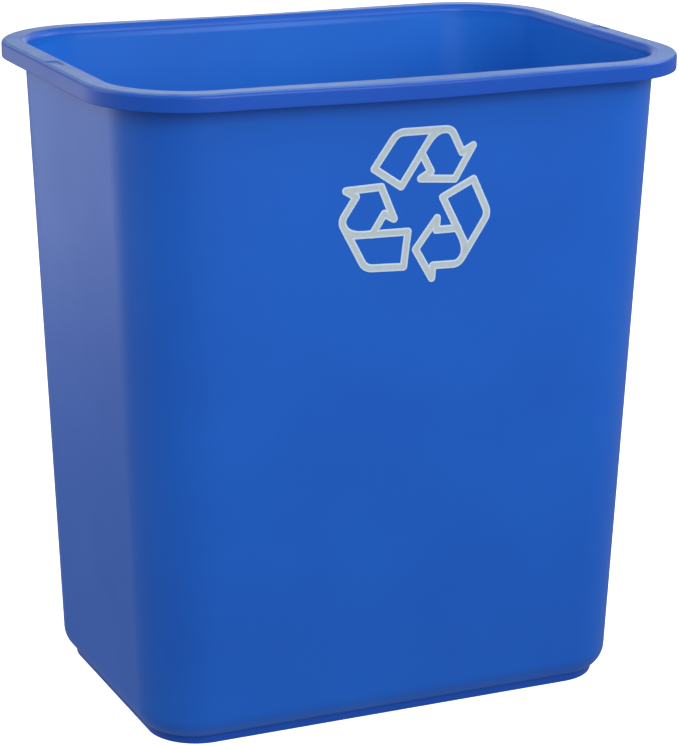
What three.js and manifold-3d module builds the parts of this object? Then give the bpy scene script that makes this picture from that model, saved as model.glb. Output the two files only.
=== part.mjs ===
// A deskside recycling wastebasket. One tapered, injection-moulded bin with a rolled rim and a
// recessed foot, and the three arrows of the universal recycling sign printed on its front wall.
// Millimetres, +Z up. The origin is the middle of the foot, on the floor. X runs along the long
// side and the front wall, with the sign, faces -Y.

import * as THREE from 'three';
import { mergeVertices } from 'three/addons/utils/BufferGeometryUtils.js';
import Module from 'manifold-3d';

const wasm = await Module();
wasm.setup();

// Overall size, measured over the rim.
const LENGTH = 364;
const WIDTH = 260;
const HEIGHT = 390;

// Rim: a lip on the inside, a flat top, a shoulder and a skirt that hangs clear of the wall.
const RIM_CORNER_RADIUS = 60.5;
const LIP_CORNER_RADIUS = 51;
const RIM_FLAT_END = 11;
const LIP_RADIUS = 3.2;
const SHOULDER_RADIUS = 2.4;
const SKIRT_DEPTH = 10;
const SKIRT_THICKNESS = 1.8;

// The long sides of the rim bulge and roll outwards a little at mid-length.
const CROWN_OUT = 0.7;
const CROWN_DROP = 0.4;
const CROWN_ROLL = 0.6;

// Wall: drafted, with corners that grow wider towards the top.
const WALL_THICKNESS = 1.9;
const RIM_OVERHANG = 13.6;
const DRAFT = THREE.MathUtils.degToRad(2.33);
const WALL_CORNER_RADIUS_TOP = 47.5;
const WALL_CORNER_RADIUS_FOOT = 35.5;

// Base: the wall turns under in an arc that stops short, on a foot set back from it.
const BASE_ARC_RADIUS = 15.7;
const BASE_ARC_ANGLE = THREE.MathUtils.degToRad(55);
const FOOT_HEIGHT = 5.1;
const FOOT_STEP = 0.6;
const FOOT_CORNER_RADIUS = 30.3;
const FOOT_EDGE = 1;
const FOOT_RING_WIDTH = 9;
const PANEL_RISE = 2.4;

// A shallow locating recess in the flat of the rim, at the middle of each short side.
const RECESS = { length: 12.4, width: 7, depth: 0.6, inset: 2.2, offsetY: -3.8 };

// Recycling sign, in its own plane: centre lines of strokes with round ends.
const SIGN_HEIGHT = 315.8;
const SIGN_THICKNESS = 0.4;
const SIGN_GAP = 0.3;
const SIGN_OFFSET = new THREE.Vector2(-0.25, -0.09);
const STROKE_WIDTH = 4.65;
const START_BEND = 4.4;
const END_BEND = 3.7;
const JOIN_BEND = { top: 5.7, tail: 9.2 };
const ARROW = {
  tailInner: [-10.5, 11.9],
  tailOuter: [-27.5, 23.7],
  topStart: [-14.3, 43.4],
  tailJoin: [9, 43],
  topEnd: [18.8, 42.7],
  foldOuter: [26.2, 28.4],
  outerBarb: [32.9, 31.9],
  tip: [22.5, 13.2],
  innerBarb: [1.3, 15.4],
  headInner: [7.5, 18.9],
  foldInner: [1, 30.6],
};
// The soft printing pad leaves the sign a little wider and leaning.
const PAD_WIDEN = 1.011;
const PAD_FLATTEN = 0.989;
const PAD_SHEAR = 0.0154;

// Vertices nearer than this are one vertex.
const MERGE_DISTANCE = 1e-4;

// Facets.
const CORNER_STEPS = 12;
const SIDE_STEPS = 8;
const ARC_STEPS = 5;
const CAP_STEPS = 3;
const BEND_STEPS = 3;

const SKIRT_FOOT_Z = HEIGHT - SKIRT_DEPTH;
const BASE_ARC_Z = FOOT_HEIGHT + BASE_ARC_RADIUS * Math.sin(BASE_ARC_ANGLE);

const polyethylene = new THREE.MeshStandardMaterial({ color: 0x2158b4, roughness: 0.42, metalness: 0 });
const signInk = new THREE.MeshStandardMaterial({ color: 0xc4c9c3, roughness: 0.5, metalness: 0 });

// Distance of the wall's outer face in from the outline of the rim, at height z.
function wallInset(z) {
  return RIM_OVERHANG + (SKIRT_FOOT_Z - z) * Math.tan(DRAFT);
}

function wallCornerRadius(z) {
  const share = (z - FOOT_HEIGHT) / (SKIRT_FOOT_Z - FOOT_HEIGHT);
  return THREE.MathUtils.lerp(WALL_CORNER_RADIUS_FOOT, WALL_CORNER_RADIUS_TOP, share);
}

// One closed ring of the bin: a rounded rectangle, drawn in by inset from the outline of the rim.
// crown is 1 on the rim, where the long sides bulge, and 0 on the wall and the base.
function ring({ inset, z, radius, crown = 0 }) {
  const halfLength = LENGTH / 2 - inset;
  const halfWidth = WIDTH / 2 - CROWN_OUT - inset;
  const straight = halfLength - radius;
  const rollShare = 1 - Math.min(inset / RIM_FLAT_END, 1);
  const points = [];

  function addCorner(signX, signY, startAngle) {
    const centreX = signX * straight;
    const centreY = signY * (halfWidth - radius);
    const arc = new THREE.EllipseCurve(centreX, centreY, radius, radius, startAngle, startAngle + Math.PI / 2);
    for (const p of arc.getPoints(CORNER_STEPS)) {
      points.push(new THREE.Vector3(p.x, p.y, z));
    }
  }

  function addLongSide(signY) {
    for (let i = 1; i < SIDE_STEPS; i += 1) {
      const share = i / SIDE_STEPS;
      const bulge = crown * Math.sin(Math.PI * share) ** 2;
      const x = signY * straight * (1 - 2 * share);
      const y = signY * (halfWidth + CROWN_OUT * bulge);
      points.push(new THREE.Vector3(x, y, z - bulge * (CROWN_DROP + CROWN_ROLL * rollShare)));
    }
  }

  addCorner(1, 1, 0);
  addLongSide(1);
  addCorner(-1, 1, Math.PI / 2);
  addCorner(-1, -1, Math.PI);
  addLongSide(-1);
  addCorner(1, -1, 1.5 * Math.PI);
  return points;
}

// Closed skin through a run of rings, from the middle of the underside to the middle of the floor.
function loft(rings) {
  const count = rings[0].length;
  const positions = rings.flat().flatMap((p) => [p.x, p.y, p.z]);
  const undersideCentre = positions.length / 3;
  const floorCentre = undersideCentre + 1;
  positions.push(0, 0, rings[0][0].z, 0, 0, rings[rings.length - 1][0].z);
  const lastRing = (rings.length - 1) * count;
  const indices = [];
  for (let j = 0; j < count; j += 1) {
    const next = (j + 1) % count;
    indices.push(undersideCentre, next, j);
    indices.push(floorCentre, lastRing + j, lastRing + next);
    for (let i = 0; i < lastRing; i += count) {
      indices.push(i + j, i + next, i + count + next);
      indices.push(i + j, i + count + next, i + count + j);
    }
  }
  const geometry = new THREE.BufferGeometry();
  geometry.setAttribute('position', new THREE.Float32BufferAttribute(positions, 3));
  geometry.setIndex(indices);
  return geometry;
}

// The underside panel, the foot, the arc under the wall, and the wall up to the rim.
function outsideStations() {
  const wallAtArc = wallInset(BASE_ARC_Z);
  const footInset = wallAtArc + BASE_ARC_RADIUS * (1 - Math.cos(BASE_ARC_ANGLE)) + FOOT_STEP;
  const innerRadius = FOOT_CORNER_RADIUS - FOOT_RING_WIDTH;
  const stations = [
    { inset: footInset + FOOT_RING_WIDTH + FOOT_EDGE, z: PANEL_RISE, radius: innerRadius - FOOT_EDGE },
    { inset: footInset + FOOT_RING_WIDTH, z: 0, radius: innerRadius },
    { inset: footInset + FOOT_EDGE, z: 0, radius: FOOT_CORNER_RADIUS - FOOT_EDGE },
    { inset: footInset, z: FOOT_EDGE, radius: FOOT_CORNER_RADIUS },
    { inset: footInset, z: FOOT_HEIGHT, radius: FOOT_CORNER_RADIUS },
  ];
  const cornerRadius = wallCornerRadius(BASE_ARC_Z);
  for (let i = ARC_STEPS; i >= 0; i -= 1) {
    const angle = (BASE_ARC_ANGLE * i) / ARC_STEPS;
    const tuck = BASE_ARC_RADIUS * (1 - Math.cos(angle));
    const z = BASE_ARC_Z - BASE_ARC_RADIUS * Math.sin(angle);
    stations.push({ inset: wallAtArc + tuck, z, radius: cornerRadius - tuck });
  }
  return { stations, footInset };
}

// The channel under the rim, the skirt, the shoulder, the flat top and the lip.
function rimStations() {
  const channelTop = HEIGHT - WALL_THICKNESS;
  const stations = [
    { inset: wallInset(channelTop), z: channelTop, radius: wallCornerRadius(channelTop) },
    { inset: SKIRT_THICKNESS, z: channelTop, radius: RIM_CORNER_RADIUS - SKIRT_THICKNESS, crown: 1 },
    { inset: SKIRT_THICKNESS, z: SKIRT_FOOT_Z, radius: RIM_CORNER_RADIUS - SKIRT_THICKNESS, crown: 1 },
    { inset: 0, z: SKIRT_FOOT_Z, radius: RIM_CORNER_RADIUS, crown: 1 },
  ];
  for (let i = 0; i <= ARC_STEPS; i += 1) {
    const angle = (Math.PI / 2) * (i / ARC_STEPS);
    const inset = SHOULDER_RADIUS * (1 - Math.cos(angle));
    const z = HEIGHT - SHOULDER_RADIUS * (1 - Math.sin(angle));
    stations.push({ inset, z, radius: RIM_CORNER_RADIUS - inset, crown: 1 });
  }
  for (let i = 0; i <= ARC_STEPS; i += 1) {
    const angle = (Math.PI / 2) * (i / ARC_STEPS);
    const reach = LIP_RADIUS * Math.sin(angle);
    const z = HEIGHT - LIP_RADIUS * (1 - Math.cos(angle));
    stations.push({ inset: RIM_FLAT_END + reach, z, radius: LIP_CORNER_RADIUS - reach, crown: 1 });
  }
  return stations;
}

// The inner face of the wall, its arc onto the ledge over the foot, and the well in the foot.
function insideStations(footInset) {
  const innerArcRadius = BASE_ARC_RADIUS - WALL_THICKNESS;
  const ledgeZ = FOOT_HEIGHT + WALL_THICKNESS;
  const ledgeAngle = Math.asin((BASE_ARC_Z - ledgeZ) / innerArcRadius);
  const cornerRadius = wallCornerRadius(BASE_ARC_Z) - WALL_THICKNESS;
  const wallAtArc = wallInset(BASE_ARC_Z) + WALL_THICKNESS;
  const belowLip = HEIGHT - 2 * LIP_RADIUS;
  const stations = [
    {
      inset: wallInset(belowLip) + WALL_THICKNESS,
      z: belowLip,
      radius: wallCornerRadius(belowLip) - WALL_THICKNESS,
    },
  ];
  for (let i = 0; i <= ARC_STEPS; i += 1) {
    const angle = (ledgeAngle * i) / ARC_STEPS;
    const tuck = innerArcRadius * (1 - Math.cos(angle));
    const z = BASE_ARC_Z - innerArcRadius * Math.sin(angle);
    stations.push({ inset: wallAtArc + tuck, z, radius: cornerRadius - tuck });
  }
  const wellInset = footInset + WALL_THICKNESS;
  const wellRadius = FOOT_CORNER_RADIUS - WALL_THICKNESS;
  stations.push({ inset: wellInset, z: ledgeZ, radius: wellRadius });
  stations.push({ inset: wellInset + FOOT_EDGE, z: PANEL_RISE + WALL_THICKNESS, radius: wellRadius - FOOT_EDGE });
  return stations;
}

function toSolid(geometry) {
  const bare = geometry.clone();
  bare.deleteAttribute('normal');
  bare.deleteAttribute('uv');
  const merged = mergeVertices(bare, MERGE_DISTANCE);
  return new wasm.Manifold(new wasm.Mesh({
    numProp: 3,
    vertProperties: new Float32Array(merged.attributes.position.array),
    triVerts: new Uint32Array(merged.index.array),
  }));
}

function toGeometry(solid) {
  const mesh = solid.getMesh();
  const geometry = new THREE.BufferGeometry();
  geometry.setAttribute('position', new THREE.BufferAttribute(mesh.vertProperties, 3));
  geometry.setIndex(new THREE.BufferAttribute(mesh.triVerts, 1));
  geometry.computeVertexNormals();
  return geometry;
}

function recessCutter(side) {
  const height = 2 * RECESS.depth;
  const box = new THREE.BoxGeometry(RECESS.width, RECESS.length, height);
  const x = side * (LENGTH / 2 - RECESS.inset - RECESS.width / 2);
  return box.translate(x, RECESS.offsetY, HEIGHT);
}

function makeBin() {
  const { stations, footInset } = outsideStations();
  const profile = [...stations, ...rimStations(), ...insideStations(footInset)];
  let solid = toSolid(loft(profile.map(ring)));
  for (const side of [-1, 1]) {
    solid = solid.subtract(toSolid(recessCutter(side)));
  }
  const bin = new THREE.Mesh(toGeometry(solid), polyethylene);
  bin.name = 'bin_body';
  return bin;
}

// A bar of the sign with round ends, from one point of its centre line to the next.
function strokeBar(start, end) {
  const half = STROKE_WIDTH / 2;
  const along = Math.atan2(end.y - start.y, end.x - start.x);
  const outline = new THREE.Shape();
  outline.absarc(start.x, start.y, half, along + Math.PI / 2, along + 1.5 * Math.PI, false);
  outline.absarc(end.x, end.y, half, along - Math.PI / 2, along + Math.PI / 2, false);
  return new THREE.ExtrudeGeometry(outline, {
    depth: SIGN_THICKNESS,
    bevelEnabled: false,
    curveSegments: CAP_STEPS,
  });
}

// Points of a centre line that rounds the corner between two straight strokes.
function bendPoints(before, corner, after, reachBefore, reachAfter = reachBefore) {
  const from = corner.clone().add(before.clone().sub(corner).setLength(reachBefore));
  const to = corner.clone().add(after.clone().sub(corner).setLength(reachAfter));
  return new THREE.QuadraticBezierCurve(from, corner, to).getPoints(BEND_STEPS);
}

// A point of the arrow, turned to its place in the sign and printed by the pad.
function printedPoint([x, y], angle) {
  const turned = new THREE.Vector2(x, y).rotateAround(new THREE.Vector2(), -angle);
  return new THREE.Vector2(
    PAD_WIDEN * turned.x + PAD_SHEAR * turned.y,
    PAD_SHEAR * turned.x + PAD_FLATTEN * turned.y,
  ).add(SIGN_OFFSET);
}

// One arrow of the sign: an open tail, folded over at the top into an open head.
function arrowGeometry(angle) {
  const at = {};
  for (const [name, point] of Object.entries(ARROW)) {
    at[name] = printedPoint(point, angle);
  }
  const centreLine = [
    ...bendPoints(at.topEnd, at.tailJoin, at.tailInner, JOIN_BEND.top, JOIN_BEND.tail),
    at.tailJoin,
    at.tailInner,
    at.tailOuter,
    ...bendPoints(at.tailOuter, at.topStart, at.topEnd, START_BEND),
    ...bendPoints(at.topStart, at.topEnd, at.foldOuter, END_BEND),
    at.foldOuter,
    at.outerBarb,
    at.tip,
    at.innerBarb,
    at.headInner,
    at.foldInner,
  ];
  let solid = toSolid(strokeBar(centreLine[0], centreLine[1]));
  for (let i = 2; i < centreLine.length; i += 1) {
    solid = solid.add(toSolid(strokeBar(centreLine[i - 1], centreLine[i])));
  }
  return toGeometry(solid);
}

function makeSign() {
  const sign = new THREE.Group();
  const names = ['sign_arrow_top', 'sign_arrow_right', 'sign_arrow_left'];
  names.forEach((name, turn) => {
    const angle = (turn * 2 * Math.PI) / names.length;
    const arrow = new THREE.Mesh(arrowGeometry(angle), signInk);
    arrow.name = name;
    sign.add(arrow);
  });
  const wallY = -(WIDTH / 2 - CROWN_OUT - wallInset(SIGN_HEIGHT));
  const outward = new THREE.Vector3(0, -Math.cos(DRAFT), -Math.sin(DRAFT));
  sign.position.set(0, wallY, SIGN_HEIGHT).addScaledVector(outward, SIGN_GAP);
  sign.rotation.x = Math.PI / 2 + DRAFT;
  return sign;
}

const wastebasket = new THREE.Group();
wastebasket.add(makeBin());
wastebasket.add(makeSign());

export default wastebasket;
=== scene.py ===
# Deskside recycling bin: one satin polyethylene moulding, with the three arrows of the
# recycling sign printed on its front wall. Sizes in the dictionaries are millimetres.
import math

import bmesh
import bpy
import numpy as np
from mathutils import Matrix, Vector


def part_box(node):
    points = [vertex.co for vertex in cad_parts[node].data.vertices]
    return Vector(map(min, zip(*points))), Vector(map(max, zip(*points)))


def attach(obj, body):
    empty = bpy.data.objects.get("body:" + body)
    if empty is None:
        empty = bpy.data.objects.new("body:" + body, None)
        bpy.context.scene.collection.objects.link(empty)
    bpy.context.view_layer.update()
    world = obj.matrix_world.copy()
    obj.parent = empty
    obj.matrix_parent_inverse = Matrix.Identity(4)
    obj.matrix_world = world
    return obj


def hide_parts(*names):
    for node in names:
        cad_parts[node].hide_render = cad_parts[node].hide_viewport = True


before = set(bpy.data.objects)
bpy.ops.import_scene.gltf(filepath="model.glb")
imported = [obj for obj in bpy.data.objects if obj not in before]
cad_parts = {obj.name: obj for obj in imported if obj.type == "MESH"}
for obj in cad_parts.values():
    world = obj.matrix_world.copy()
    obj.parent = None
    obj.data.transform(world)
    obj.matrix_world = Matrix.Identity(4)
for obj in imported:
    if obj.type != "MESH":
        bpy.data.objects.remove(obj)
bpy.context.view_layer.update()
mm = 0.001

binLow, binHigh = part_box("bin_body")
binLength = (binHigh.x - binLow.x) / mm
binWidth = (binHigh.y - binLow.y) / mm
binHeight = (binHigh.z - binLow.z) / mm
print(f"frame: bin {binLength:.1f} x {binWidth:.1f} x {binHeight:.1f} mm")


def linearColor(hexText):
    # sRGB hex to the linear values that the shaders take
    channels = [int(hexText[i:i + 2], 16) / 255 for i in (1, 3, 5)]
    linear = [c / 12.92 if c <= 0.04045 else ((c + 0.055) / 1.055) ** 2.4 for c in channels]
    return (*linear, 1.0)


def addNode(tree, kind, links=None, **settings):
    # one node: its incoming links by socket name, and its settings by attribute or socket name,
    # with _ for a space
    node = tree.nodes.new(kind)
    for name, value in settings.items():
        if hasattr(node, name):
            setattr(node, name, value)
        else:
            node.inputs[name.replace("_", " ")].default_value = value
    for socket, source in (links or {}).items():
        tree.links.new(source, node.inputs[socket])
    return node


def newObject(name, vertices, faces, material):
    mesh = bpy.data.meshes.new(name)
    mesh.from_pydata(vertices, [], faces)
    mesh.validate()
    mesh.shade_smooth()
    mesh.materials.append(material)
    piece = bpy.data.objects.new(name, mesh)
    bpy.context.scene.collection.objects.link(piece)
    return piece


polyethyleneFinish = {
    "color": "#1664D1",        # blue masterbatch, as it shows under white light
    "paintedShadeColor": "#1254C1",   # painted shade: the underside, the foot and the rim up to its shoulder are drawn a deeper blue
    "flatSheenColor": "#5784CD",    # painted sheen: the flat of the rim is drawn a pale grey-blue
    "sheenPatchSize": 14,           # size of the patches of painted sheen
    "sheenNoise": (0.1, 0.5),   # no painted sheen below the first, full painted sheen above the second
    "insideBounceColor": "#1C73DB",  # painted light: the inside is drawn a paler blue, for the light bounced round in it
    "flowTint": "#F1F4F9",     # soft clouds where more pigment settled as the plastic flowed
    "roughness": 0.38,         # satin, from a fine spark-eroded mould
    "roughnessSpread": 0.05,
    "ior": 1.51,
    "gloss": 0.36,             # the fine grain scatters part of the mirror shine
    "flowSize": 90,            # width of the cloudy flow marks
    "flowNoise": (0.35, 0.65),
    "grain": 1.3,              # the real grain is 0.3 mm, too fine to show; drawn coarser
    "grainDepth": 0.006,
    "waveSize": 80,            # the wall is not quite flat where it cooled unevenly
    "waveDepth": 0.02,
}


def makePolyethylene():
    # Injection-moulded polyethylene: an even, slightly waxy blue with a soft sheen that turns
    # grey-white at a low angle, and a faint grain from the mould.
    f = polyethyleneFinish
    material = bpy.data.materials.new("mouldedPolyethylene")
    material.use_nodes = True
    tree = material.node_tree
    shader = tree.nodes["Principled BSDF"]
    shader.inputs["IOR"].default_value = f["ior"]
    shader.inputs["Metallic"].default_value = 0.0
    shader.inputs["Specular IOR Level"].default_value = f["gloss"]

    place = addNode(tree, "ShaderNodeTexCoord").outputs["Object"]
    flow = addNode(tree, "ShaderNodeTexNoise", {"Vector": place},
                   Scale=1 / (f["flowSize"] * mm), Detail=3.0, Roughness=0.5)
    paintedShade, paintedSheen, inside = [
        addNode(tree, "ShaderNodeAttribute", attribute_name=zone).outputs["Fac"]
        for zone in ("paintedShade", "paintedSheen", "inside")]
    patches = addNode(tree, "ShaderNodeTexNoise", {"Vector": place},
                      Scale=1 / (f["sheenPatchSize"] * mm), Detail=4.0, Roughness=0.6)
    sheenShare = addNode(tree, "ShaderNodeMapRange", {"Value": patches.outputs["Fac"], "To Max": paintedSheen},
                     From_Min=f["sheenNoise"][0], From_Max=f["sheenNoise"][1])
    clouds = addNode(tree, "ShaderNodeMapRange", {"Value": flow.outputs["Fac"]},
                     From_Min=f["flowNoise"][0], From_Max=f["flowNoise"][1])
    # painted shade: the underside, the foot and the rim up to its shoulder are drawn a deeper blue
    outside = addNode(tree, "ShaderNodeMix", {"Factor": paintedShade}, data_type="RGBA",
                      A=linearColor(f["color"]), B=linearColor(f["paintedShadeColor"]))
    # painted sheen: the flat of the rim is drawn pale grey-blue in noisy patches
    withSheen = addNode(tree, "ShaderNodeMix",
                   {"Factor": sheenShare.outputs["Result"], "A": outside.outputs["Result"]},
                   data_type="RGBA", B=linearColor(f["flatSheenColor"]))
    # painted light: the inside is drawn a paler blue
    bothSides = addNode(tree, "ShaderNodeMix", {"Factor": inside, "A": withSheen.outputs["Result"]},
                        data_type="RGBA", B=linearColor(f["insideBounceColor"]))
    clouded = addNode(tree, "ShaderNodeMix",
                      {"Factor": clouds.outputs["Result"], "A": bothSides.outputs["Result"]},
                      data_type="RGBA", blend_type="MULTIPLY", B=linearColor(f["flowTint"]))
    tree.links.new(clouded.outputs["Result"], shader.inputs["Base Color"])
    sheen = addNode(tree, "ShaderNodeMapRange", {"Value": flow.outputs["Fac"]},
                    To_Min=f["roughness"] - f["roughnessSpread"],
                    To_Max=f["roughness"] + f["roughnessSpread"])
    tree.links.new(sheen.outputs["Result"], shader.inputs["Roughness"])

    grain = addNode(tree, "ShaderNodeTexNoise", {"Vector": place},
                    Scale=1 / (f["grain"] * mm), Detail=2.0, Roughness=0.6)
    wave = addNode(tree, "ShaderNodeTexNoise", {"Vector": place},
                   Scale=1 / (f["waveSize"] * mm), Detail=1.0)
    waveBump = addNode(tree, "ShaderNodeBump", {"Height": wave.outputs["Fac"]},
                       Distance=f["waveDepth"] * mm, Strength=1.0)
    grainBump = addNode(tree, "ShaderNodeBump",
                        {"Height": grain.outputs["Fac"], "Normal": waveBump.outputs["Normal"]},
                        Distance=f["grainDepth"] * mm, Strength=1.0)
    tree.links.new(grainBump.outputs["Normal"], shader.inputs["Normal"])
    return material


inkFinish = {
    "color": "#C3D1D7",        # cool pale grey, one pass of ink over the blue
    "edgeColor": "#D0E7FB",    # ink squeezed to the edge of the stroke lies thicker, and whiter
    "thinColor": "#B9C8D0",    # the blue shows through a little where it is thin
    "edgeWidth": 0.6,
    "edgeFade": 0.6,
    "roughness": 0.5,
    "ior": 1.5,
    "mottleSize": 3.0,
    "mottleNoise": (0.25, 0.65),   # thin below the first, full colour above the second
    "grain": 0.9,              # follows the mould grain under it, drawn coarser than real
    "grainDepth": 0.01,
}


def makeInk():
    # Pad-printed polyurethane ink: a matte, nearly opaque pale grey with a whiter edge.
    f = inkFinish
    material = bpy.data.materials.new("padPrintedInk")
    material.use_nodes = True
    tree = material.node_tree
    shader = tree.nodes["Principled BSDF"]
    shader.inputs["IOR"].default_value = f["ior"]
    shader.inputs["Roughness"].default_value = f["roughness"]

    place = addNode(tree, "ShaderNodeTexCoord").outputs["Object"]
    mottle = addNode(tree, "ShaderNodeTexNoise", {"Vector": place},
                     Scale=1 / (f["mottleSize"] * mm), Detail=3.0, Roughness=0.6)
    body = addNode(tree, "ShaderNodeValToRGB", {"Fac": mottle.outputs["Fac"]})
    stops = body.color_ramp.elements
    stops[0].position, stops[1].position = f["mottleNoise"]
    stops[0].color, stops[1].color = linearColor(f["thinColor"]), linearColor(f["color"])
    depth = addNode(tree, "ShaderNodeAttribute", attribute_name="fromEdge")
    edge = addNode(tree, "ShaderNodeMapRange", {"Value": depth.outputs["Fac"]},
                   From_Min=f["edgeWidth"] * mm, To_Min=1.0,
                   From_Max=(f["edgeWidth"] + f["edgeFade"]) * mm, To_Max=0.0)
    edged = addNode(tree, "ShaderNodeMix",
                    {"Factor": edge.outputs["Result"], "A": body.outputs["Color"]},
                    data_type="RGBA", B=linearColor(f["edgeColor"]))
    tree.links.new(edged.outputs["Result"], shader.inputs["Base Color"])

    grain = addNode(tree, "ShaderNodeTexNoise", {"Vector": place},
                    Scale=1 / (f["grain"] * mm), Detail=2.0)
    bump = addNode(tree, "ShaderNodeBump", {"Height": grain.outputs["Fac"]},
                   Distance=f["grainDepth"] * mm, Strength=1.0)
    tree.links.new(bump.outputs["Normal"], shader.inputs["Normal"])
    return material


polyethylene = makePolyethylene()
ink = makeInk()
print("finishes: moulded polyethylene, pad-printed ink")


basket = {
    "draft": 2.33,             # degrees that the wall leans out
    "wall": 1.9,
    "overhang": 13.6,          # rim's skirt beyond the wall, at the skirt's lower edge
    "wallCornerTop": 47.5,
    "wallCornerFoot": 35.5,
    "rimCorner": 60.5,
    "lipCorner": 51.0,
    "rimFlatEnd": 11.0,        # in from the skirt
    "lipRadius": 4.2,
    "lipSteps": 10,
    "lipEaseSteps": 6,         # rings from the lip down into the wall
    "flatRings": (3.6, 5.0, 6.6, 8.0),
    "lastFlatRing": 10.0,
    "shoulderRadius": 2.4,
    "shoulderSteps": 9,
    "sheenShoulder": 5,         # steps of the shoulder that get the same painted sheen as the flat
    "skirtDepth": 10.0,
    "skirtThickness": 1.8,
    "skirtEdge": 0.6,          # rounding of the skirt's lower edge
    "skirtRings": (2, 4, 6),   # outside, up from its lower edge
    "skirtInnerRings": (3.5, 5.5),   # inside, down from the top of the channel
    "skirtInnerFoot": 1.5,
    "channelFillet": 1.2,
    "channelFilletFrom": 22,   # degrees; the top ring of the wall stands for its first step
    "crownOut": 0.7,           # long sides of the rim bulge, drop and roll at mid-length
    "crownDrop": 0.4,
    "crownRoll": 0.6,
    "arcRadius": 15.7,
    "arcAngle": 55.0,
    "footHeight": 5.1,
    "footStep": 0.6,
    "footStepEdge": 0.35,
    "footWallRings": (2.4, 3.8),
    "footCorner": 30.3,
    "footEdge": 1.0,
    "footRing": 9.0,
    "panelRise": 2.4,
    "panelFillet": 0.4,
    "ringEdge": 0.6,           # inner edge of the foot ring, rounded and leaning in a little
    "ringLean": 0.4,
    "panelRings": (60, 30, 4),
    "panelStraight": 70,       # straight stretch left between the panel's corners
    "panelCorner": 8,          # their least radius
    "floorRings": (8, 30, 60),
    "floorStraight": 66,
    "floorCorner": 10,
    "wellEdge": 0.6,
    "wellFillet": 1.0,
    "recessInset": (2.45, 9.2),
    "recessSpan": (-10.0, 2.4),
    "recessDepth": 0.6,
    "recessWall": 0.12,
    "recessClear": 1.2,        # no other point of the rim comes nearer its ends
    # dimple under the middle with the stub where the plastic went in: radius, and rise above
    # the panel, then the flat pad round it: corner radius and half its side
    "gateSection": ((1.12, 0), (1.6, 0.2), (1.7, 0.5), (6.4, 0.5), (7.0, 0), (7.8, 0)),
    "gatePad": (11, 20),
    "cornerSteps": 28,
    "longSteps": 56,
    "shortSteps": 30,
    "wallSteps": 26,
    "arcSteps": 12,
    "mergeDistance": 0.005,
    "flatWeight": 60,          # how much more the large faces count in the shading
}

skirtFootZ = binHeight - basket["skirtDepth"]
arcZ = basket["footHeight"] + basket["arcRadius"] * math.sin(math.radians(basket["arcAngle"]))
wallHalfWidth = binWidth / 2 - basket["crownOut"]


def wallInset(z):
    # how far the wall's outer face stands in from the skirt at height z
    return basket["overhang"] + (skirtFootZ - z) * math.tan(math.radians(basket["draft"]))


def wallCorner(z):
    share = (z - basket["footHeight"]) / (skirtFootZ - basket["footHeight"])
    return basket["wallCornerFoot"] + (basket["wallCornerTop"] - basket["wallCornerFoot"]) * share


def turn(insetCentre, zCentre, radius, start, end, steps):
    # points of an arc in the section, as (inset, z); 180 degrees points to the outside
    angles = [math.radians(start + (end - start) * i / steps) for i in range(steps + 1)]
    return [(insetCentre + radius * math.cos(a), zCentre + radius * math.sin(a)) for a in angles]


def shortSideShares():
    # along a short side: even steps, plus the ends of the locating recess
    straight = wallHalfWidth - basket["rimCorner"]
    shares = [2 * i / basket["shortSteps"] - 1 for i in range(1, basket["shortSteps"])]
    edges = []
    for y in basket["recessSpan"]:
        for side in (-basket["recessWall"] / 2, basket["recessWall"] / 2):
            edges.append((y + side) / straight)
    clear = basket["recessClear"] / straight
    shares = [s for s in shares if min(abs(s - e) for e in edges) > clear]
    return sorted(shares + edges)


shortShares = shortSideShares()


def roundedRing(inset, z, corner, crown=0.0, dip=False, halfSize=None):
    # one ring of the moulding: a rounded rectangle drawn in from the outline of the rim
    halfLength, halfWidth = halfSize or (binLength / 2 - inset, wallHalfWidth - inset)
    straightX, straightY = halfLength - corner, halfWidth - corner
    roll = 1 - min(inset / basket["rimFlatEnd"], 1)
    points = []

    def addCorner(signX, signY, start):
        for i in range(basket["cornerSteps"] + 1):
            a = start + math.pi / 2 * i / basket["cornerSteps"]
            points.append((signX * straightX + corner * math.cos(a),
                           signY * straightY + corner * math.sin(a), z))

    def addLongSide(sign):
        for i in range(1, basket["longSteps"]):
            share = i / basket["longSteps"]
            bulge = crown * math.sin(math.pi * share) ** 2
            points.append((sign * straightX * (1 - 2 * share),
                           sign * (halfWidth + basket["crownOut"] * bulge),
                           z - bulge * (basket["crownDrop"] + basket["crownRoll"] * roll)))

    def addShortSide(sign):
        low, high = basket["recessSpan"]
        for share in shortShares if sign > 0 else reversed(shortShares):
            y = share * straightY
            depth = basket["recessDepth"] if dip and low < y < high else 0
            points.append((sign * halfLength, y, z - depth))

    addCorner(1, 1, 0)
    addLongSide(1)
    addCorner(-1, 1, math.pi / 2)
    addShortSide(-1)
    addCorner(-1, -1, math.pi)
    addLongSide(-1)
    addCorner(1, -1, 1.5 * math.pi)
    addShortSide(1)
    return points


def undersideRings(footInset):
    b = basket
    rings = []
    for radius, rise in b["gateSection"]:
        rings.append(roundedRing(0, b["panelRise"] + rise, radius, halfSize=(radius, radius)))
    padCorner, padHalf = b["gatePad"]
    rings.append(roundedRing(0, b["panelRise"], padCorner, halfSize=(padHalf, padHalf)))
    ringInset = footInset + b["footRing"]
    for inset in (ringInset + step for step in b["panelRings"]):
        corner = max(binWidth / 2 - inset - b["panelStraight"], b["panelCorner"])
        rings.append(roundedRing(inset, b["panelRise"], corner))
    fillet, edge, footEdge = b["panelFillet"], b["ringEdge"], b["footEdge"]
    wallTop = ringInset + edge + b["ringLean"]
    section = turn(wallTop + fillet, b["panelRise"] - fillet, fillet, 90, 180, 3)
    section += turn(ringInset, edge, edge, 0, -90, 3)
    section += turn(footInset + footEdge, footEdge, footEdge, 270, 180, 5)
    for inset, z in section:
        rings.append(roundedRing(inset, z, b["footCorner"] - (inset - footInset)))
    return rings


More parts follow.
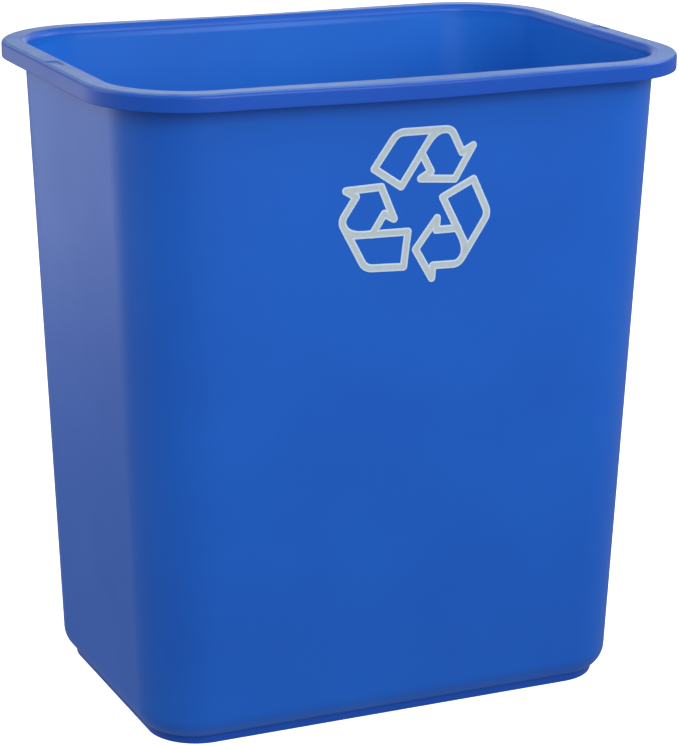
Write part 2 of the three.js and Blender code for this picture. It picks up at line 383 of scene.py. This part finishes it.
def outsideRings(footInset):
    b = basket
    rings = []
    for z in b["footWallRings"]:
        rings.append(roundedRing(footInset, z, b["footCorner"]))
    edge = b["footStepEdge"]
    for inset, z in turn(footInset - edge, b["footHeight"] - edge, edge, 0, 90, 3):
        rings.append(roundedRing(inset, z, b["footCorner"] + footInset - inset))
    for i in range(b["arcSteps"], -1, -1):
        angle = math.radians(b["arcAngle"] * i / b["arcSteps"])
        tuck = b["arcRadius"] * (1 - math.cos(angle))
        z = arcZ - b["arcRadius"] * math.sin(angle)
        rings.append(roundedRing(wallInset(arcZ) + tuck, z, wallCorner(arcZ) - tuck))
    fillet = b["channelFillet"]
    channelTop = binHeight - b["wall"]
    for i in range(1, b["wallSteps"] + 1):
        z = arcZ + (channelTop - fillet - arcZ) * i / b["wallSteps"]
        rings.append(roundedRing(wallInset(z), z, wallCorner(z)))
    wallTop = wallInset(channelTop)
    for inset, z in turn(wallTop - fillet, channelTop - fillet, fillet, b["channelFilletFrom"], 90, 4):
        rings.append(roundedRing(inset, z, wallCorner(channelTop) + wallTop - inset))
    return rings


def ringsOnFlat():
    # insets of the rings across the flat of the rim, with two at each end of the recess
    low, high = basket["recessInset"]
    wall = basket["recessWall"]
    return [low, low + wall, *basket["flatRings"], high - wall, high, basket["lastFlatRing"]]


flatInsets = ringsOnFlat()


def rimRings():
    b = basket
    fillet = b["channelFillet"]
    channelTop = binHeight - b["wall"]
    inner = b["skirtThickness"]
    edge = b["skirtEdge"]
    section = turn(inner + fillet, channelTop - fillet, fillet, 90, 180, 4)
    section += [(inner, channelTop - down) for down in b["skirtInnerRings"]]
    section.append((inner, skirtFootZ + b["skirtInnerFoot"]))
    section += turn(inner - edge, skirtFootZ + edge, edge, 0, -90, 4)
    section += turn(edge, skirtFootZ + edge, edge, 270, 180, 4)
    section += [(0, skirtFootZ + up) for up in b["skirtRings"]]
    shoulder = b["shoulderRadius"]
    section += turn(shoulder, binHeight - shoulder, shoulder, 180, 90, b["shoulderSteps"])
    rings = [roundedRing(i, z, b["rimCorner"] - i, crown=1) for i, z in section]

    flatEnd = b["rimFlatEnd"]
    low, high = b["recessInset"]
    for inset in flatInsets:
        share = (inset - shoulder) / (flatEnd - shoulder)
        corner = (b["rimCorner"] - shoulder) * (1 - share) + b["lipCorner"] * share
        dip = low < inset < high
        rings.append(roundedRing(inset, binHeight, corner, crown=1, dip=dip))
    for inset, z in turn(flatEnd, binHeight - b["lipRadius"], b["lipRadius"], 90, 0,
                             b["lipSteps"]):
        rings.append(roundedRing(inset, z, b["lipCorner"] - (inset - flatEnd), crown=1))
    return rings


def insideRings(footInset):
    b = basket
    lipInset, lipZ = b["rimFlatEnd"] + b["lipRadius"], binHeight - b["lipRadius"]
    lipCorner = b["lipCorner"] - b["lipRadius"]
    wallZ = lipZ - b["lipRadius"]
    rings = []
    for i in range(1, b["lipEaseSteps"] + 1):
        share = i / b["lipEaseSteps"]
        ease = share * share * (3 - 2 * share)
        inset = lipInset + (wallInset(wallZ) + b["wall"] - lipInset) * ease
        corner = lipCorner + (wallCorner(wallZ) - b["wall"] - lipCorner) * ease
        rings.append(roundedRing(inset, lipZ + (wallZ - lipZ) * share, corner, crown=1 - ease))
    for i in range(1, b["wallSteps"]):
        z = wallZ + (arcZ - wallZ) * i / b["wallSteps"]
        rings.append(roundedRing(wallInset(z) + b["wall"], z, wallCorner(z) - b["wall"]))
    radius = b["arcRadius"] - b["wall"]
    ledgeZ = b["footHeight"] + b["wall"]
    ledgeAngle = math.asin((arcZ - ledgeZ) / radius)
    for i in range(b["arcSteps"] + 1):
        angle = ledgeAngle * i / b["arcSteps"]
        tuck = radius * (1 - math.cos(angle))
        inset = wallInset(arcZ) + b["wall"] + tuck
        z = arcZ - radius * math.sin(angle)
        rings.append(roundedRing(inset, z, wallCorner(arcZ) - b["wall"] - tuck))
    wellInset = footInset + b["wall"]
    floorZ = b["panelRise"] + b["wall"]
    edge, fillet = b["wellEdge"], b["wellFillet"]
    for inset, z in (turn(wellInset - edge, ledgeZ - edge, edge, 90, 0, 3)
                     + turn(wellInset + fillet, floorZ + fillet, fillet, 180, 270, 4)):
        rings.append(roundedRing(inset, z, b["footCorner"] - (inset - footInset)))
    for inset in (wellInset + step for step in b["floorRings"]):
        corner = max(binWidth / 2 - inset - b["floorStraight"], b["floorCorner"])
        rings.append(roundedRing(inset, floorZ, corner))
    return rings


def makeBasket():
    b = basket
    tuck = b["arcRadius"] * (1 - math.cos(math.radians(b["arcAngle"])))
    footInset = wallInset(arcZ) + tuck + b["footStep"]
    outside = undersideRings(footInset) + outsideRings(footInset)
    rim, inside = rimRings(), insideRings(footInset)
    rings = outside + rim + inside
    count = len(rings[0])
    vertices = [Vector(p) * mm for ring in rings for p in ring]
    faces = []
    for start in range(0, (len(rings) - 1) * count, count):
        for j in range(count):
            after = (j + 1) % count
            faces.append((start + j, start + after, start + count + after, start + count + j))
    last = (len(rings) - 1) * count
    underside, floor = len(vertices), len(vertices) + 1
    vertices.append(Vector((0, 0, rings[0][0][2])) * mm)
    vertices.append(Vector((0, 0, rings[-1][0][2])) * mm)
    for j in range(count):
        after = (j + 1) % count
        faces.append((underside, after, j))
        faces.append((floor, last + j, last + after))
    piece = newObject("moulded_bin", vertices, faces, polyethylene)
    lipStart = len(outside + rim) - b["lipSteps"] - 1
    flatStart = lipStart - len(flatInsets) - b["sheenShoulder"]
    footRings = sum(ring[0][2] <= b["footHeight"] for ring in outside)
    # zones of the finish, each as spans of rings: painted shade on the underside, the foot and the rim
    # up to its shoulder; painted sheen on the flat of the rim; painted light inside
    zones = {"paintedShade": [(0, footRings), (len(outside), flatStart)],
             "paintedSheen": [(flatStart, lipStart)],
             "inside": [(len(outside + rim), len(rings))]}
    for name, spans in zones.items():
        shares = [float(any(first <= ring < after for first, after in spans))
                  for ring in range(len(rings))]
        values = np.repeat(shares, count).tolist() + [0.0, 1.0 if name == "inside" else 0.0]
        piece.data.attributes.new(name, "FLOAT", "POINT").data.foreach_set("value", values)
    # where a ring has no straight side, its points there fall together
    joined = bmesh.new()
    joined.from_mesh(piece.data)
    bmesh.ops.remove_doubles(joined, verts=joined.verts, dist=b["mergeDistance"] * mm)
    joined.to_mesh(piece.data)
    joined.free()
    # flats keep their own normals, and only the rounded edges between them shade round
    weighted = piece.modifiers.new("flatsFirst", "WEIGHTED_NORMAL")
    weighted.weight = b["flatWeight"]
    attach(piece, "root")
    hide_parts("bin_body")
    print(f"moulded_bin: {len(rings)} rings of {count}, {len(faces)} faces")
    return piece


makeBasket()


sign = {
    "height": 315.8,           # middle of the sign above the floor
    "offset": (-0.25, -0.09),
    "stroke": 4.65,
    "startBend": 4.4,          # rounding of the arrow's corners
    "endBend": 3.7,
    "joinTop": 5.7,            # fillet inside the head, where the tail's edge runs into the top
    "joinTail": 9.2,
    "widen": 1.011,            # the soft printing pad leaves the sign a little wider
    "flatten": 0.989,
    "lean": 0.0154,            # and leaning
    "rise": 0.25,              # ink stands this proud of the wall
    "root": 0.15,              # and is keyed this far into it
    "edge": 0.2,               # rounding of the ink's edge
    "edgeSteps": 3,
    "edgeSlack": 0.05,         # squares with their middle nearer the outline are left out
    "bendSteps": 8,            # straight steps round each bend of the centre line
    "pitch": 0.38,             # squares of the sheet that the stroke is cut from
    "line": {                  # centre line of one arrow, x right and y up from the middle
        "tailJoin": (9.0, 43.0), "tailInner": (-10.5, 11.9), "tailOuter": (-27.5, 23.7),
        "topStart": (-14.3, 43.4), "topEnd": (18.8, 42.7), "foldOuter": (26.2, 28.4),
        "outerBarb": (32.9, 31.9), "tip": (22.5, 13.2), "innerBarb": (1.3, 15.4),
        "headInner": (7.5, 18.9), "foldInner": (1.0, 30.6),
    },
}


def printedPoint(point, angle):
    # a point of the arrow, turned to its place in the sign and printed by the pad
    x = point[0] * math.cos(angle) + point[1] * math.sin(angle)
    y = point[1] * math.cos(angle) - point[0] * math.sin(angle)
    return Vector((sign["widen"] * x + sign["lean"] * y + sign["offset"][0],
                   sign["lean"] * x + sign["flatten"] * y + sign["offset"][1]))


def bend(before, corner, after, reachBefore, reachAfter):
    # points round a corner between two straight strokes
    start = corner + (before - corner).normalized() * reachBefore
    end = corner + (after - corner).normalized() * reachAfter
    shares = [i / sign["bendSteps"] for i in range(sign["bendSteps"] + 1)]
    return [start * (1 - t) ** 2 + corner * 2 * t * (1 - t) + end * t * t for t in shares]


def arrowLine(angle):
    at = {name: printedPoint(point, angle) for name, point in sign["line"].items()}
    start, end = sign["startBend"], sign["endBend"]
    line = bend(at["topEnd"], at["tailJoin"], at["tailInner"], sign["joinTop"], sign["joinTail"])
    line += [at["tailJoin"], at["tailInner"], at["tailOuter"]]
    line += bend(at["tailOuter"], at["topStart"], at["topEnd"], start, start)
    line += bend(at["topStart"], at["topEnd"], at["foldOuter"], end, end)
    line += [at[n] for n in ("foldOuter", "outerBarb", "tip", "innerBarb", "headInner", "foldInner")]
    return np.array([tuple(point) for point in line])


def nearestOnLine(points, line):
    # nearest point of the centre line to each point, and how far away it is
    best = np.full(len(points), 1e9)
    foot = np.zeros_like(points)
    for a, b in zip(line[:-1], line[1:]):
        along = b - a
        share = np.clip(((points - a) @ along) / (along @ along), 0, 1)
        near = a + share[:, None] * along
        away = np.linalg.norm(points - near, axis=1)
        closer = away < best
        best[closer] = away[closer]
        foot[closer] = near[closer]
    return foot, best


def strokeSheet(line, reach):
    # an even sheet of squares over the stroke; corners near its outline are moved onto it
    pitch = sign["pitch"]
    low, high = line.min(0) - reach - pitch, line.max(0) + reach + pitch
    columns, rows = (np.ceil((high - low) / pitch) + 1).astype(int)
    x, y = np.meshgrid(np.arange(columns), np.arange(rows))
    points = np.stack([x.ravel(), y.ravel()], 1) * pitch + low
    foot, away = nearestOnLine(points, line)
    onEdge = np.abs(away - reach) <= pitch / 2
    outward = (points - foot) / np.maximum(away, 1e-6)[:, None]
    points[onEdge] = (foot + outward * reach)[onEdge]
    kept = onEdge | (away < reach)
    faces = []
    for row in range(rows - 1):
        for column in range(columns - 1):
            first = row * columns + column
            square = [first, first + 1, first + columns + 1, first + columns]
            inside = [v for v in square if kept[v]]
            if len(inside) < 3 or all(onEdge[v] for v in inside):
                middle = points[inside].mean(0) if len(inside) > 2 else None
                if middle is None or nearestOnLine(middle[None], line)[1][0] > reach - sign["edgeSlack"]:
                    continue
            faces.append(inside)
    used = sorted({v for face in faces for v in face})
    number = {v: i for i, v in enumerate(used)}
    return points[used], [[number[v] for v in face] for face in faces]


def makeArrow(name, node, angle):
    line = arrowLine(angle)
    half, edge, steps = sign["stroke"] / 2, sign["edge"], sign["edgeSteps"]
    flat, faces = strokeSheet(line, half - edge)
    edges = {}
    for face in faces:
        for a, b in zip(face, face[1:] + face[:1]):
            edges[(a, b)] = (b, a) not in edges
            if (b, a) in edges:
                edges[(b, a)] = edges[(a, b)] = False
    rim = [pair for pair, single in edges.items() if single]
    rimVertices = sorted({v for pair in rim for v in pair})
    foot, away = nearestOnLine(flat[rimVertices], line)
    outward = (flat[rimVertices] - foot) / away[:, None]

    vertices = [(x, y, sign["rise"]) for x, y in flat]
    layers = [{v: v for v in rimVertices}]
    for step in range(1, steps + 2):
        a = min(step / steps, 1) * math.pi / 2
        z = sign["rise"] - edge * (1 - math.cos(a)) if step <= steps else -sign["root"]
        ringPoints = foot + outward * (half - edge + edge * math.sin(a))
        layers.append({v: len(vertices) + i for i, v in enumerate(rimVertices)})
        vertices += [(x, y, z) for x, y in ringPoints]
    backStart = len(vertices)
    back = {v: layers[-1].get(v, backStart + v) for v in range(len(flat))}
    vertices += [(x, y, -sign["root"]) for x, y in flat]

    allFaces = [list(f) for f in faces]
    for upper, lower in zip(layers[:-1], layers[1:]):
        allFaces += [[upper[b], upper[a], lower[a], lower[b]] for a, b in rim]
    allFaces += [[back[v] for v in reversed(f)] for f in faces]

    # the sign stands on the leaning front wall
    draft = math.radians(basket["draft"])
    wallY = -(wallHalfWidth - wallInset(sign["height"]))
    onWall = Matrix.Translation(Vector((0, wallY, sign["height"])) * mm)
    onWall @= Matrix.Rotation(math.pi / 2 + draft, 4, "X")
    placed = [onWall @ (Vector(v) * mm) for v in vertices]
    used = sorted({v for f in allFaces for v in f})
    number = {v: i for i, v in enumerate(used)}
    piece = newObject(name, [placed[v] for v in used],
                      [[number[v] for v in f] for f in allFaces], ink)
    fromEdge = piece.data.attributes.new("fromEdge", "FLOAT", "POINT")
    flatPoints = np.array([vertices[v][:2] for v in used])
    depth = np.maximum(half - nearestOnLine(flatPoints, line)[1], 0) * mm
    fromEdge.data.foreach_set("value", depth.astype(np.float32))
    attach(piece, "root")
    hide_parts(node)
    print(f"{name}: {len(allFaces)} faces")


for third, place in enumerate(("top", "right", "left")):
    makeArrow(f"printed_arrow_{place}", f"sign_arrow_{place}", third * 2 * math.pi / 3)


studio = {
    "floorSize": 12.0,         # metres
    "floorColor": "#F6F6F5",
    "floorGlow": 0.95,         # lifts the floor to a paper white
    "floorRoughness": 0.9,
    "floorGloss": 0.2,
    "background": 1.0,         # what the camera sees past the floor
    "ambient": 0.285,          # what the bin gets from all round
    # each softbox: azimuth and elevation that it stands at (0 is the front, 90 the right-hand
    # end), distance, width and height in metres, brightness
    "softboxes": {
        "frontBox": (4, 26, 1.5, 0.8, 0.7, 5.1),
        "frontRightBox": (35, 30, 1.5, 0.7, 0.7, 1.37),
        "shoulderBox": (55, 61, 1.5, 0.4, 0.35, 0.6),
        "overheadBox": (340, 62, 1.4, 0.6, 0.5, 1.37),
        "rightBox": (80, 30, 1.6, 0.8, 0.7, 4.46),
        "rightBackBox": (125, 34, 2.0, 1.0, 0.9, 0.8),
        "leftBackBox": (242, 28, 1.8, 0.9, 0.8, 2.7),
        "leftBackLow": (245, 5, 1.8, 0.9, 0.6, 0.45),
        "leftBox": (300, 34, 1.6, 0.7, 0.7, 1.53),
        "backdropRight": (152, 5, 2.2, 1.5, 1.0, 0.62),
        "rimBox": (156, 18, 2.2, 0.8, 0.4, 0.95),
        "rimBoxLeft": (198, 25, 2.0, 0.8, 0.6, 0.7),
        "backdropLeft": (215, -3, 2.2, 1.6, 0.9, 1.0),
        "lowLeft": (262, -8, 1.8, 1.2, 0.8, 0.2),
        "tableBounce": (0, -85, 1.5, 1.0, 0.8, 0.8),
    },
}


def direction(azimuth, elevation):
    # unit vector from the bin; azimuth 0 is the front, 90 the right-hand end
    a, e = math.radians(azimuth), math.radians(elevation)
    return Vector((math.sin(a) * math.cos(e), -math.cos(a) * math.cos(e), math.sin(e)))


def makeStudio():
    s = studio
    half = s["floorSize"] / 2
    material = bpy.data.materials.new("paleFloor")
    material.use_nodes = True
    shader = material.node_tree.nodes["Principled BSDF"]
    shader.inputs["Base Color"].default_value = linearColor(s["floorColor"])
    shader.inputs["Roughness"].default_value = s["floorRoughness"]
    shader.inputs["Specular IOR Level"].default_value = s["floorGloss"]
    shader.inputs["Emission Color"].default_value = (1, 1, 1, 1)
    shader.inputs["Emission Strength"].default_value = s["floorGlow"]
    corners = [(-half, -half, 0), (half, -half, 0), (half, half, 0), (-half, half, 0)]
    floor = newObject("studio_floor", corners, [(0, 1, 2, 3)], material)
    # the floor is only seen; the bin takes its light from the softboxes and the surround
    floor.visible_diffuse = floor.visible_glossy = floor.visible_shadow = False

    world = bpy.data.worlds.new("studioWorld")
    world.use_nodes = True
    tree = world.node_tree
    seen = addNode(tree, "ShaderNodeLightPath").outputs["Is Camera Ray"]
    strength = addNode(tree, "ShaderNodeMapRange", {"Value": seen},
                       To_Min=s["ambient"], To_Max=s["background"])
    background = tree.nodes["Background"]
    background.inputs["Color"].default_value = (1, 1, 1, 1)
    tree.links.new(strength.outputs["Result"], background.inputs["Strength"])
    bpy.context.scene.world = world

    middle = Vector((0, 0, binHeight * mm / 2))
    for name, (azimuth, elevation, distance, width, height, brightness) in s["softboxes"].items():
        light = bpy.data.lights.new(name, "AREA")
        light.shape = "RECTANGLE"
        light.size, light.size_y = width, height
        light.energy = brightness * math.pi * width * height
        lamp = bpy.data.objects.new(name, light)
        lamp.location = middle + direction(azimuth, elevation) * distance
        lamp.rotation_euler = (lamp.location - middle).to_track_quat("Z", "Y").to_euler()
        lamp.visible_camera = False
        lamp.visible_glossy = name != "tableBounce"  # a pale table has no mirror shine
        bpy.context.scene.collection.objects.link(lamp)
    print(f"studio: floor, world and {len(s['softboxes'])} softboxes")


camera = {
    "azimuth": -24.25,
    "elevation": 16.3,
    "roll": 0.46,
    "distance": 1636.4,
    "lens": 128.91,
    "target": (3.59, 0.0, 186.69),
    "clip": (0.05, 50),        # metres
}


def makeCamera():
    c = camera
    back = direction(c["azimuth"], c["elevation"])
    right = Vector((0, 0, 1)).cross(back).normalized()
    up = back.cross(right)
    roll = math.radians(c["roll"])
    tiltedRight = right * math.cos(roll) + up * math.sin(roll)
    tiltedUp = up * math.cos(roll) - right * math.sin(roll)
    lens = bpy.data.cameras.new("studioCamera")
    lens.lens = c["lens"]
    lens.clip_start, lens.clip_end = c["clip"]
    eye = bpy.data.objects.new("studioCamera", lens)
    turned = Matrix((tiltedRight, tiltedUp, back)).transposed().to_4x4()
    eye.matrix_world = Matrix.Translation((Vector(c["target"]) + back * c["distance"]) * mm) @ turned
    bpy.context.scene.collection.objects.link(eye)
    bpy.context.scene.camera = eye
    bpy.context.scene.view_settings.view_transform = "Standard"


makeStudio()
makeCamera()
print("camera set")
